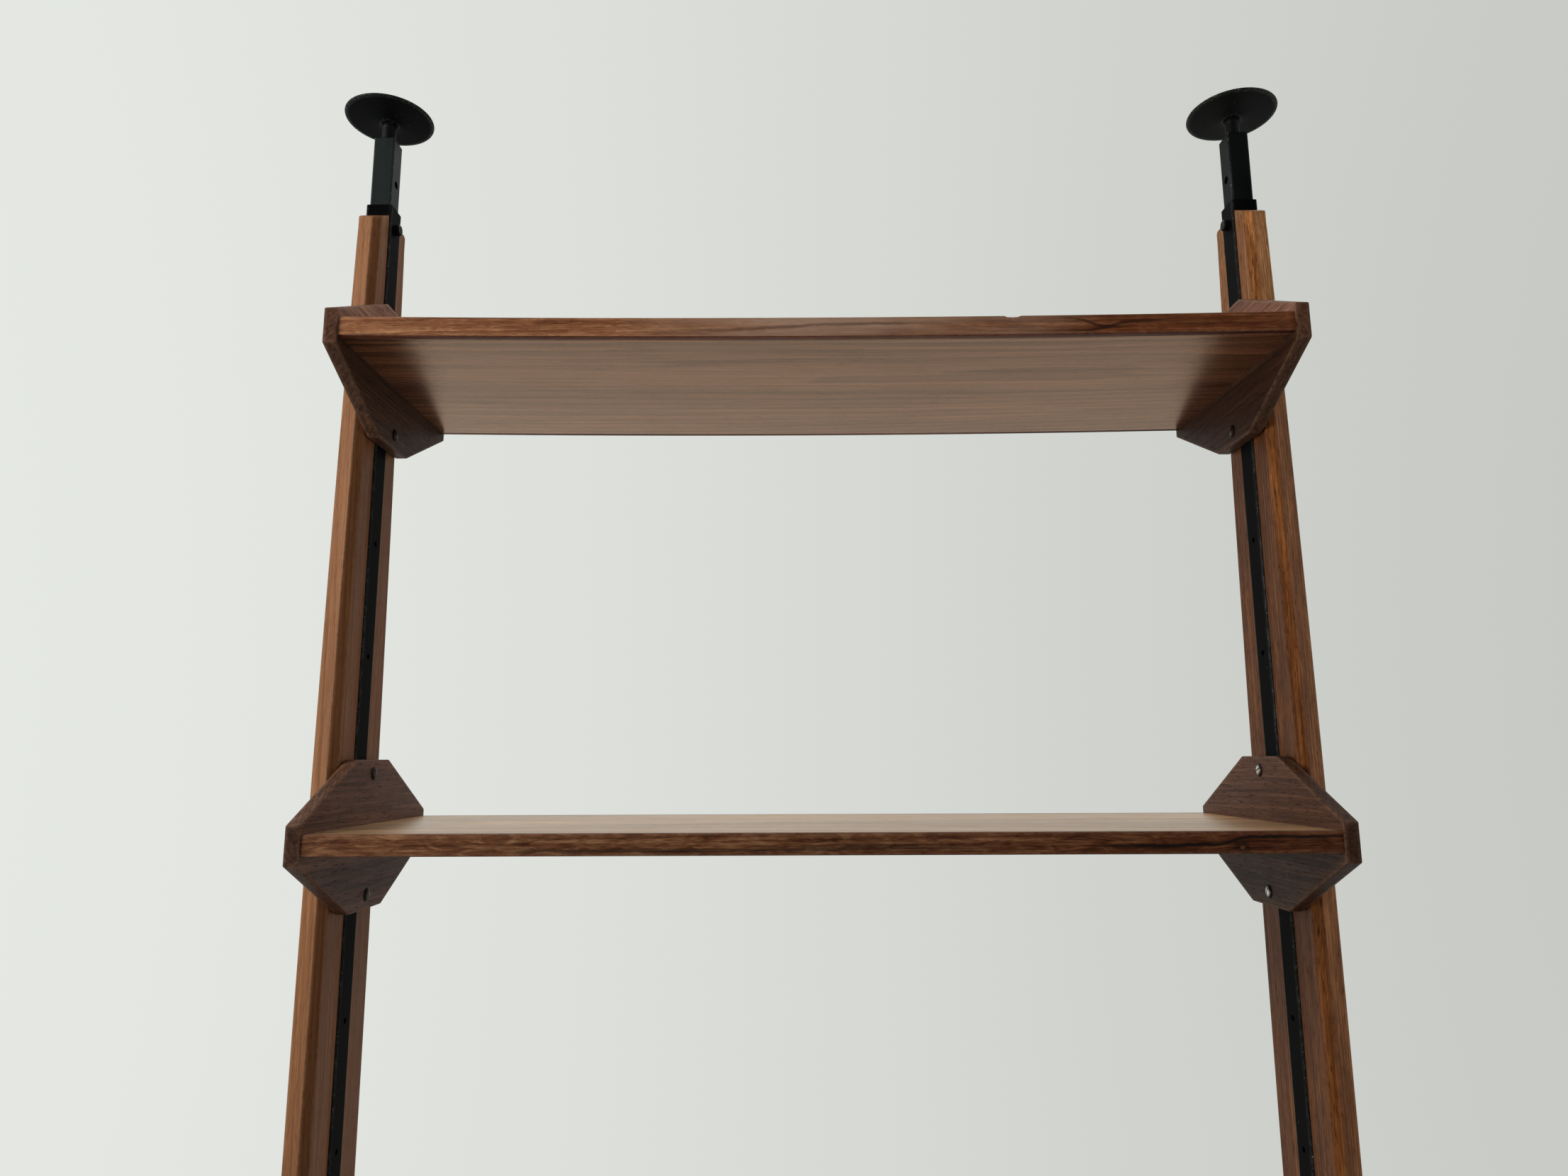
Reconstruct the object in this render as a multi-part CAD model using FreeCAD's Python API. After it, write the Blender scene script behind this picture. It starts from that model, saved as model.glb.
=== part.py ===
import FreeCAD, Part
import os
import math
from FreeCAD import Vector as V

os.makedirs("parts", exist_ok=True)

# ---------------------------------------------------------------------------
# Floor-to-ceiling shelf unit: two steel-cored teak posts, four shelves hung on
# octagonal end brackets, a telescoping screw jack with a ceiling disc on top of
# each post and a screw-in foot below.  Millimetres.  Origin on the floor in the
# middle of the footprint, +X to the right post, +Y to the rear, +Z up.
# ---------------------------------------------------------------------------

# ---- driving dimensions ---------------------------------------------------
PITCH = 125.0            # spacing of the threaded holes up each post
FIRST_HOLE = 187.5       # height of the lowest hole
HOLES = 17               # the topmost one takes the lock bolt
HOLE_R = 3.0             # M6 threaded hole, modelled plain

SHELF_L = 944.0          # clear length between the two brackets of a shelf
SHELF_D = 312.0          # depth of a shelf, lippings included
SHELF_T = 20.0
LIP = 8.0                # depth of the solid front and rear lippings
SHELF_Z = [500.0, 1000.0, 1500.0, 2000.0]    # height of each shelf's mid-plane
SHELF_SAG = [0.0, 0.0, 0.0, 4.0]             # droop at mid-span

BR_T = 14.0              # bracket thickness
BR_D = 316.0             # bracket depth, front tip to rear tip
BR_H = 154.0             # bracket height
BR_FLAT = 80.0           # length of its level top and bottom edges
BR_END = 36.0            # height of its upright front and rear edges

SCREW_R = 2.95           # bracket screw shank
SCREW_HEAD_R = 7.4
SCREW_HEAD_H = 2.6

DOWEL_R = 4.0
DOWEL_L = 30.0
DOWEL_IN_BR = 8.0
DOWEL_Y = [-108.0, 0.0, 108.0]

TUBE = 30.0              # post tube, square outside size
TUBE_WALL = 2.5
TUBE_R = 3.0
TUBE_Z0, TUBE_Z1 = 22.0, 2212.0

RAIL_STEP = 2.0          # the wood stands back this far from the steel's inner face
RAIL_U = 32.5            # outboard side of the wood, from the steel's inner face
RAIL_Z0, RAIL_Z1 = 40.0, 2198.0
RAIL_MID = 55.0          # half depth of the post at mid-height, at its inner face
RAIL_END = 33.8          # the same at both ends
RAIL_RIDGE_U, RAIL_RIDGE_D = 11.7, 4.8       # ridge of the front: outboard, forward
RAIL_OUT_D = 7.6         # the outboard edge lies this far behind the inner edge

STUD_R = 3.0
STUD_L = 14.0
STUD_Z = [170.0, 650.0, 1130.0, 1610.0, 2090.0]

JACK = 24.5              # telescoping tube, square outside size
JACK_WALL = 2.0
JACK_R = 2.5
JACK_Z0, JACK_Z1 = 1880.0, 2300.0
JACK_HOLE_Z, JACK_HOLE_R = 2245.0, 4.6

NUT_H = 24.0
SPINDLE_R = 8.0
SPINDLE_Z0, SPINDLE_Z1 = 2196.0, 2322.0
JOURNAL_R = 4.0          # reduced top end of the spindle, in the disc's hub
RUN_FIT = 0.08           # radial running clearance

DISC_R = 50.0
DISC_Z1 = 2330.5         # level rim that meets the ceiling
DISC_T = 2.5
HUB_R = 11.0

FOOT_R = 26.0
FOOT_H = 9.0
FOOT_STUD_R = 5.0
PLUG_H = 26.0

# ---- derived --------------------------------------------------------------
X_BR = SHELF_L / 2.0             # inner face of a bracket
X_ST = X_BR + BR_T               # inner face of the steel, bracket bears on it
X_AX = X_ST + TUBE / 2.0         # axis of the post


def save(name, shape):
    if shape.ShapeType == "Compound" and len(shape.Solids) == 1:
        shape = shape.Solids[0]
    if not shape.isValid():
        shape = shape.removeSplitter()
    print("%-26s solids %2d valid %s vol %.1f cm3" % (name, len(shape.Solids), shape.isValid(), shape.Volume / 1000.0))
    shape.exportStep("parts/%s.step" % name)


def box(x0, x1, y0, y1, z0, z1):
    x0, x1 = min(x0, x1), max(x0, x1)
    return Part.makeBox(x1 - x0, y1 - y0, z1 - z0, V(x0, y0, z0))


def cyl(r, h, p, d):
    return Part.makeCylinder(r, h, V(*p), V(*d))


def mirror(shape):
    return shape.mirror(V(0, 0, 0), V(1, 0, 0))


def both(side, shape):
    return shape if side == "right" else mirror(shape)


def revolve(pts, cx):
    """pts: (radius, z) outline, turned about the vertical line x = cx."""
    w = Part.makePolygon([V(cx + r, 0, z) for r, z in pts] + [V(cx + pts[0][0], 0, pts[0][1])])
    return Part.Face(w).revolve(V(cx, 0, 0), V(0, 0, 1), 360)


def square_bar(cx, a, r, z0, z1):
    b = Part.makeBox(a, a, z1 - z0, V(cx - a / 2, -a / 2, z0))
    if r > 0:
        es = [e for e in b.Edges if abs(e.BoundBox.ZLength - (z1 - z0)) < 1e-6]
        b = b.makeFillet(r, es)
    return b


def square_tube(cx, a, wall, r, z0, z1):
    return square_bar(cx, a, r, z0, z1).cut(square_bar(cx, a - 2 * wall, max(r - wall, 0.5), z0 - 1, z1 + 1))


# ---- posts ------------------------------------------------------------------
hole_z = [FIRST_HOLE + PITCH * i for i in range(HOLES)]


def post_tube():
    t = square_tube(X_AX, TUBE, TUBE_WALL, TUBE_R, TUBE_Z0, TUBE_Z1)
    cutters = [cyl(HOLE_R, TUBE_WALL + 2, (X_ST - 1, 0, z), (1, 0, 0)) for z in hole_z]
    return t.cut(Part.makeCompound(cutters))


def half_depth(z):
    m = 0.5 * (RAIL_Z0 + RAIL_Z1)
    return RAIL_MID - (RAIL_MID - RAIL_END) * ((z - m) / (0.5 * (RAIL_Z1 - RAIL_Z0))) ** 2


def rail(front):
    """Bowed strip: deepest at mid-height; its outer face has a steep inner facet
    and a broad outer facet that meet in a ridge."""
    wires = []
    n = 13
    z0, z1 = RAIL_Z0 - 20, RAIL_Z1 + 20
    for i in range(n):
        z = z0 + (z1 - z0) * i / (n - 1)
        d = half_depth(z)
        pts = [
            (RAIL_STEP, 8.0),
            (RAIL_STEP, d),
            (RAIL_RIDGE_U, d + RAIL_RIDGE_D),
            (RAIL_U - 2.0, d - RAIL_OUT_D + 1.2),
            (RAIL_U, d - RAIL_OUT_D - 1.2),
            (RAIL_U, 8.0),
        ]
        pv = [V(X_ST + u, y, z) for u, y in pts]
        wires.append(Part.makePolygon(pv + [pv[0]]))
    s = Part.makeLoft(wires, True, False)
    half = TUBE / 2.0
    s = s.common(box(X_ST - 5, X_ST + RAIL_U + 5, half, 90, RAIL_Z0, RAIL_Z1))
    # blind holes for the studs
    s = s.cut(Part.makeCompound([cyl(STUD_R + 0.05, STUD_L + 1, (X_AX, half - 0.5, z), (0, 1, 0)) for z in STUD_Z]))
    if front:
        # the top end falls away towards the front, and the bottom end mirrors it
        w = Part.makePolygon([V(X_ST - 8, half + 0.8, RAIL_Z1), V(X_ST - 8, half + 40, RAIL_Z1 - 24.5),
                              V(X_ST - 8, half + 40, RAIL_Z1 + 10), V(X_ST - 8, half + 0.8, RAIL_Z1 + 10),
                              V(X_ST - 8, half + 0.8, RAIL_Z1)])
        s = s.cut(Part.Face(w).extrude(V(60, 0, 0)))
        s = s.mirror(V(0, 0, 0), V(0, 1, 0))
    else:
        w = Part.makePolygon([V(X_ST - 8, RAIL_END - 3.0, RAIL_Z1 + 1), V(X_ST - 8, RAIL_END + 12.0, RAIL_Z1 - 13),
                              V(X_ST - 8, RAIL_END + 20.0, RAIL_Z1 + 1), V(X_ST - 8, RAIL_END - 3.0, RAIL_Z1 + 1)])
        s = s.cut(Part.Face(w).extrude(V(60, 0, 0)))
    return s


def rail_studs():
    out = []
    for z in STUD_Z:
        out.append(cyl(STUD_R, STUD_L, (X_AX, TUBE / 2, z), (0, 1, 0)))
        out.append(cyl(STUD_R, STUD_L, (X_AX, -TUBE / 2, z), (0, -1, 0)))
    return Part.makeCompound(out)


def foot_plug():
    a = TUBE - 2 * TUBE_WALL - 0.1
    p = square_bar(X_AX, a, 0.6, TUBE_Z0 - 4, TUBE_Z0 + PLUG_H)
    flange = square_bar(X_AX, TUBE, TUBE_R, TUBE_Z0 - 4, TUBE_Z0)
    p = p.fuse(flange).removeSplitter()
    return p.cut(cyl(FOOT_STUD_R + RUN_FIT, PLUG_H + 10, (X_AX, 0, TUBE_Z0 - 6), (0, 0, 1)))


def foot_stud():
    s = cyl(FOOT_STUD_R, 62.0, (X_AX, 0, 4.0), (0, 0, 1))
    nut = cyl(8.0, 4.0, (X_AX, 0, FOOT_H + 0.0), (0, 0, 1))
    return s.fuse(nut).removeSplitter()


def foot_pad():
    p = revolve([(0, 0), (FOOT_R - 1, 0), (FOOT_R, 1.0), (FOOT_R, 4.5), (FOOT_R - 7, 7.0), (11.0, FOOT_H), (0, FOOT_H)], X_AX)
    return p.cut(cyl(FOOT_STUD_R, 10.0, (X_AX, 0, 4.0), (0, 0, 1)))


def lock_bolt():
    z = hole_z[-1]
    head = cyl(6.3, 6.0, (X_ST - 6.3, 0, z), (1, 0, 0))
    rim = [e for e in head.Edges if abs(e.BoundBox.XLength) < 1e-6 and abs(e.BoundBox.XMin - (X_ST - 6.3)) < 1e-6]
    head = head.makeFillet(1.6, rim)
    head = head.cut(box(X_ST - 8, X_ST - 4.3, -0.8, 0.8, z - 8, z + 8))
    neck = cyl(HOLE_R - 0.05, TUBE_WALL + 0.3 + 0.1, (X_ST - 0.3, 0, z), (1, 0, 0))
    return head.fuse(neck).removeSplitter()


# ---- jack and ceiling disc ---------------------------------------------------
def jack_tube():
    t = square_tube(X_AX, JACK, JACK_WALL, JACK_R, JACK_Z0, JACK_Z1)
    t = t.cut(cyl(JACK_HOLE_R, 6, (X_AX - JACK / 2 - 1, 0, JACK_HOLE_Z), (1, 0, 0)))
    # the mouth is eased all round
    a, c = JACK / 2, 2.2
    for dx, dy in ((-1, 0), (1, 0), (0, -1), (0, 1)):
        if dx:
            w = Part.makePolygon([V(X_AX + dx * (a - c * 0.7), -a - 1, JACK_Z1 + 0.01), V(X_AX + dx * (a + 0.5), -a - 1, JACK_Z1 + 0.01),
                                  V(X_AX + dx * (a + 0.5), -a - 1, JACK_Z1 - c), V(X_AX + dx * a, -a - 1, JACK_Z1 - c),
                                  V(X_AX + dx * (a - c * 0.7), -a - 1, JACK_Z1 + 0.01)])
            t = t.cut(Part.Face(w).extrude(V(0, 2 * a + 2, 0)))
        else:
            w = Part.makePolygon([V(X_AX - a - 1, dy * (a - c * 0.7), JACK_Z1 + 0.01), V(X_AX - a - 1, dy * (a + 0.5), JACK_Z1 + 0.01),
                                  V(X_AX - a - 1, dy * (a + 0.5), JACK_Z1 - c), V(X_AX - a - 1, dy * a, JACK_Z1 - c),
                                  V(X_AX - a - 1, dy * (a - c * 0.7), JACK_Z1 + 0.01)])
            t = t.cut(Part.Face(w).extrude(V(2 * a + 2, 0, 0)))
    return t


def jack_nut():
    a = JACK - 2 * JACK_WALL - 0.02
    n = square_bar(X_AX, a, 0.52, JACK_Z1 - 4 - NUT_H, JACK_Z1 - 4)
    return n.cut(cyl(SPINDLE_R + RUN_FIT, NUT_H + 4, (X_AX, 0, JACK_Z1 - 6 - NUT_H), (0, 0, 1)))


def spindle():
    s = cyl(SPINDLE_R, SPINDLE_Z1 - SPINDLE_Z0, (X_AX, 0, SPINDLE_Z0), (0, 0, 1))
    j = cyl(JOURNAL_R, 6.5, (X_AX, 0, SPINDLE_Z1), (0, 0, 1))
    head = cyl(JOURNAL_R + 1.8, 1.6, (X_AX, 0, SPINDLE_Z1 + 4.9), (0, 0, 1))     # peened over the hub
    s = s.fuse(j).fuse(head).removeSplitter()
    low = [e for e in s.Edges if e.BoundBox.ZLength < 1e-6 and abs(e.BoundBox.ZMin - SPINDLE_Z0) < 1e-6]
    return s.makeChamfer(1.2, low)


def ceiling_disc():
    z = DISC_Z1
    hub_b = SPINDLE_Z1 + 0.3
    out = [
        (JOURNAL_R + RUN_FIT, hub_b), (HUB_R - 1.5, hub_b), (HUB_R, hub_b + 1.0), (18.0, z - 5.3), (26.0, z - 4.3), (40.0, z - 3.1), (DISC_R - 0.8, z - 2.4),
        (DISC_R, z - 1.6), (DISC_R, z - 0.5), (DISC_R - 0.5, z), (DISC_R - 5.0, z),
        (40.0, z - 0.7), (26.0, z - 1.9), (18.0, z - 2.9), (HUB_R, hub_b + 4.2), (JOURNAL_R + RUN_FIT, hub_b + 4.2),
    ]
    return revolve(out, X_AX)


# ---- shelves ------------------------------------------------------------------
def bracket_outline():
    d, h, f, e = BR_D / 2, BR_H / 2, BR_FLAT / 2, BR_END / 2
    return [(-d, -e), (-f, -h), (f, -h), (d, -e), (d, e), (f, h), (-f, h), (-d, e)]


def bracket(zc):
    pts = [V(X_BR, y, zc + z) for y, z in bracket_outline()]
    b = Part.Face(Part.makePolygon(pts + [pts[0]])).extrude(V(BR_T, 0, 0))
    # a light ease on both faces' outlines
    es = [e for e in b.Edges if e.BoundBox.XLength < 1e-6]
    b = b.makeChamfer(0.8, es)
    cut = [cyl(HOLE_R + 0.3, BR_T + 2, (X_BR - 1, 0, zc + s * PITCH / 2), (1, 0, 0)) for s in (-1, 1)]
    cut += [cyl(DOWEL_R, DOWEL_IN_BR + 1, (X_BR - 1, y, zc), (1, 0, 0)) for y in DOWEL_Y]
    return b.cut(Part.makeCompound(cut))


def bar_with_sag(y0, y1, zc, sag):
    """Straight shelf member, or one whose faces are long flat arcs."""
    x, t = SHELF_L / 2, SHELF_T / 2
    if sag <= 0:
        return box(-x, x, y0, y1, zc - t, zc + t)
    top = Part.Arc(V(-x, y0, zc + t), V(0, y0, zc + t - sag), V(x, y0, zc + t)).toShape()
    bot = Part.Arc(V(x, y0, zc - t), V(0, y0, zc - t - sag), V(-x, y0, zc - t)).toShape()
    w = Part.Wire([top, Part.makeLine(V(x, y0, zc + t), V(x, y0, zc - t)), bot, Part.makeLine(V(-x, y0, zc - t), V(-x, y0, zc + t))])
    return Part.Face(w).extrude(V(0, y1 - y0, 0))


def shelf_board(zc, sag):
    b = bar_with_sag(-SHELF_D / 2 + LIP, SHELF_D / 2 - LIP, zc, sag)
    dl = DOWEL_L - DOWEL_IN_BR
    cut = []
    for y in DOWEL_Y:
        cut.append(cyl(DOWEL_R, dl + 1, (-SHELF_L / 2 - 1, y, zc), (1, 0, 0)))
        cut.append(cyl(DOWEL_R, dl + 1, (SHELF_L / 2 + 1, y, zc), (-1, 0, 0)))
    return b.cut(Part.makeCompound(cut))


def shelf_lip(front, zc, sag):
    d = SHELF_D / 2
    s = bar_with_sag(-d, -d + LIP, zc, sag) if front else bar_with_sag(d - LIP, d, zc, sag)
    return s


def dowels(zc):
    out = []
    for y in DOWEL_Y:
        out.append(cyl(DOWEL_R, DOWEL_L, (X_BR - (DOWEL_L - DOWEL_IN_BR), y, zc), (1, 0, 0)))
        out.append(cyl(DOWEL_R, DOWEL_L, (-X_BR + (DOWEL_L - DOWEL_IN_BR), y, zc), (-1, 0, 0)))
    return Part.makeCompound(out)


def bracket_screw(zc, turn):
    """Slotted round-head machine screw: head on the bracket, tip inside the tube wall."""
    r, h = SCREW_HEAD_R, SCREW_HEAD_H
    R = (r * r + h * h) / (2 * h)
    ball = Part.makeSphere(R, V(X_BR - h + R, 0, zc))
    head = ball.common(cyl(r, h + 1, (X_BR - h - 1, 0, zc), (1, 0, 0))).common(box(X_BR - h - 1, X_BR, -20, 20, zc - 20, zc + 20))
    slot = box(X_BR - h - 1, X_BR - h + 1.4, -0.7, 0.7, zc - r - 1, zc + r + 1)
    slot.rotate(V(X_BR, 0, zc), V(1, 0, 0), turn)
    head = head.cut(slot)
    shank = cyl(SCREW_R, BR_T + TUBE_WALL - 0.4, (X_BR - 0.3, 0, zc), (1, 0, 0))
    return head.fuse(shank).removeSplitter()


def screws(zc, turns):
    out = []
    for i, (side, s) in enumerate((("right", 1), ("right", -1), ("left", 1), ("left", -1))):
        out.append(both(side, bracket_screw(zc + s * PITCH / 2, turns[i])))
    return Part.makeCompound(out)


# ---- write every piece ---------------------------------------------------------
for side in ("left", "right"):
    save(side + "_post_tube", both(side, post_tube()))
    save(side + "_front_rail", both(side, rail(True)))
    save(side + "_rear_rail", both(side, rail(False)))
    save(side + "_rail_studs", both(side, rail_studs()))
    save(side + "_foot_plug", both(side, foot_plug()))
    save(side + "_foot_stud", both(side, foot_stud()))
    save(side + "_foot_pad", both(side, foot_pad()))
    save(side + "_lock_bolt", both(side, lock_bolt()))
    save(side + "_jack_tube", both(side, jack_tube()))
    save(side + "_jack_nut", both(side, jack_nut()))
    save(side + "_jack_spindle", both(side, spindle()))
    save(side + "_ceiling_disc", both(side, ceiling_disc()))

TURNS = {1: [20, 75, 60, 10], 2: [80, 35, 15, 50], 3: [62, 28, 20, 8], 4: [40, 70, 12, 10]}
for n, (zc, sag) in enumerate(zip(SHELF_Z, SHELF_SAG), 1):
    name = "shelf_%d_" % n
    save(name + "board", shelf_board(zc, sag))
    save(name + "front_edge", shelf_lip(True, zc, sag))
    save(name + "rear_edge", shelf_lip(False, zc, sag))
    save(name + "left_bracket", mirror(bracket(zc)))
    save(name + "right_bracket", bracket(zc))
    save(name + "bracket_screws", screws(zc, TURNS[n]))
    save(name + "dowels", dowels(zc))
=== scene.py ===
import bpy, bmesh, math, random
from mathutils import Vector, Matrix


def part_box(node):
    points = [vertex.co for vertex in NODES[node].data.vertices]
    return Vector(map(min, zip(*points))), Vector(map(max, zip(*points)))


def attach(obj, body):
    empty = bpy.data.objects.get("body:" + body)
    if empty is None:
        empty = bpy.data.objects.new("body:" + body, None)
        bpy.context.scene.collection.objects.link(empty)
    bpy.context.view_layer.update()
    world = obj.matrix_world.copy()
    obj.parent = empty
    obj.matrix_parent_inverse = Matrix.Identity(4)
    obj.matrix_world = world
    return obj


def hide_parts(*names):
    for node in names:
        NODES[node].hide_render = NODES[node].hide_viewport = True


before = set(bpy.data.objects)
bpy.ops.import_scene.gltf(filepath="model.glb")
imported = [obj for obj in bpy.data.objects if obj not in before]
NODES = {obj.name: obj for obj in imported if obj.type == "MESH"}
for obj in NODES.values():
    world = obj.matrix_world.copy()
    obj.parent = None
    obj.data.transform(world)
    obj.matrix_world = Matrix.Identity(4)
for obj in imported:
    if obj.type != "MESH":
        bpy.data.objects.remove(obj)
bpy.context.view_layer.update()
scene = bpy.context.scene
COLL = bpy.context.collection

# ---------------------------------------------------------------------------
# sizes, in metres, in the frame's coordinates
# ---------------------------------------------------------------------------
X_BR = 0.472            # inner face of a bracket
BR_T = 0.014
X_ST = X_BR + BR_T      # inner face of the steel
X_AX = X_ST + 0.015     # axis of a post
SHELF_Z = [0.5, 1.0, 1.5, 2.0]
SAG = [0.0, 0.0, 0.0, 0.004]
SHELF_HALF_D = 0.156
LIP = 0.008
T2 = 0.010
RAIL_Z0, RAIL_Z1 = 0.040, 2.198


# ---------------------------------------------------------------------------
# camera at the photograph's viewpoint
# ---------------------------------------------------------------------------
def make_camera():
    f, cx, cy_, cz = 1428.24, -0.02912, -1.09728, 1.57707
    pitch, yaw, roll = 0.1663, 0.0037, 0.0040
    cp, sp, cy, sy, cr, sr = math.cos(pitch), math.sin(pitch), math.cos(yaw), math.sin(yaw), math.cos(roll), math.sin(roll)
    right = Vector((cy, sy, 0))
    fwd = Vector((-sy * cp, cy * cp, sp))
    up = Vector((sy * sp, -cy * sp, cp))
    r2 = cr * right - sr * up
    u2 = sr * right + cr * up
    cam = bpy.data.cameras.new("camera")
    cam.sensor_width = 36.0
    cam.lens = f * 36.0 / 2212.0
    cam.clip_start, cam.clip_end = 0.02, 60
    ob = bpy.data.objects.new("camera", cam)
    COLL.objects.link(ob)
    m = Matrix.Identity(4)
    for i in range(3):
        m[i][0], m[i][1], m[i][2] = r2[i], u2[i], -fwd[i]
    m[0][3], m[1][3], m[2][3] = cx, cy_, cz
    ob.matrix_world = m
    scene.camera = ob


make_camera()


# ---------------------------------------------------------------------------
# node helpers
# ---------------------------------------------------------------------------
class Tree:
    def __init__(self, name):
        self.mat = bpy.data.materials.new(name)
        self.mat.use_nodes = True
        self.nt = self.mat.node_tree
        self.nt.nodes.clear()
        self.out = self.nt.nodes.new("ShaderNodeOutputMaterial")
        self.bsdf = self.nt.nodes.new("ShaderNodeBsdfPrincipled")
        self.nt.links.new(self.bsdf.outputs[0], self.out.inputs[0])

    def n(self, kind, **kw):
        nd = self.nt.nodes.new(kind)
        for k, v in kw.items():
            setattr(nd, k, v)
        return nd

    def link(self, a, b):
        self.nt.links.new(a, b)

    def coords(self):
        return self.n("ShaderNodeTexCoord").outputs["Object"]

    def vmul(self, v, s, off=(0, 0, 0)):
        m = self.n("ShaderNodeMapping")
        m.vector_type = "POINT"
        m.inputs["Scale"].default_value = s
        m.inputs["Location"].default_value = off
        self.link(v, m.inputs["Vector"])
        return m.outputs[0]

    def noise(self, v, scale=1.0, detail=4.0, rough=0.55, dist=0.0, lac=2.0):
        t = self.n("ShaderNodeTexNoise")
        t.inputs["Scale"].default_value = scale
        t.inputs["Detail"].default_value = detail
        t.inputs["Roughness"].default_value = rough
        t.inputs["Lacunarity"].default_value = lac
        t.inputs["Distortion"].default_value = dist
        self.link(v, t.inputs["Vector"])
        return t.outputs["Fac"]

    def math(self, op, a, b=None, c=None, clamp=False):
        m = self.n("ShaderNodeMath", operation=op)
        m.use_clamp = clamp
        for i, x in enumerate((a, b, c)):
            if x is None:
                continue
            if isinstance(x, (int, float)):
                m.inputs[i].default_value = x
            else:
                self.link(x, m.inputs[i])
        return m.outputs[0]

    def ramp(self, f, stops, interp="LINEAR"):
        r = self.n("ShaderNodeValToRGB")
        r.color_ramp.interpolation = interp
        els = r.color_ramp.elements
        while len(els) < len(stops):
            els.new(0.5)
        for e, (p, c) in zip(els, stops):
            e.position = p
            e.color = (c[0], c[1], c[2], 1) if isinstance(c, (tuple, list)) else (c, c, c, 1)
        self.link(f, r.inputs[0])
        return r.outputs["Color"]

    def mix(self, f, a, b, blend="MIX"):
        m = self.n("ShaderNodeMix", data_type="RGBA", blend_type=blend)
        m.clamp_result = False
        for sock, x in ((m.inputs[0], f), (m.inputs[6], a), (m.inputs[7], b)):
            if isinstance(x, (int, float)):
                sock.default_value = x
            elif isinstance(x, (tuple, list)):
                sock.default_value = (x[0], x[1], x[2], 1)
            else:
                self.link(x, sock)
        return m.outputs[2]

    def attr(self, name):
        a = self.n("ShaderNodeAttribute")
        a.attribute_name = name
        return a.outputs["Fac"]

    def bump(self, h, strength, dist, normal=None):
        b = self.n("ShaderNodeBump")
        b.inputs["Strength"].default_value = strength
        b.inputs["Distance"].default_value = dist
        self.link(h, b.inputs["Height"])
        if normal is not None:
            self.link(normal, b.inputs["Normal"])
        return b.outputs[0]


def axis_scale(axis, along, across):
    s = [across, across, across]
    s["XYZ".index(axis)] = along
    return tuple(s)


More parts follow.
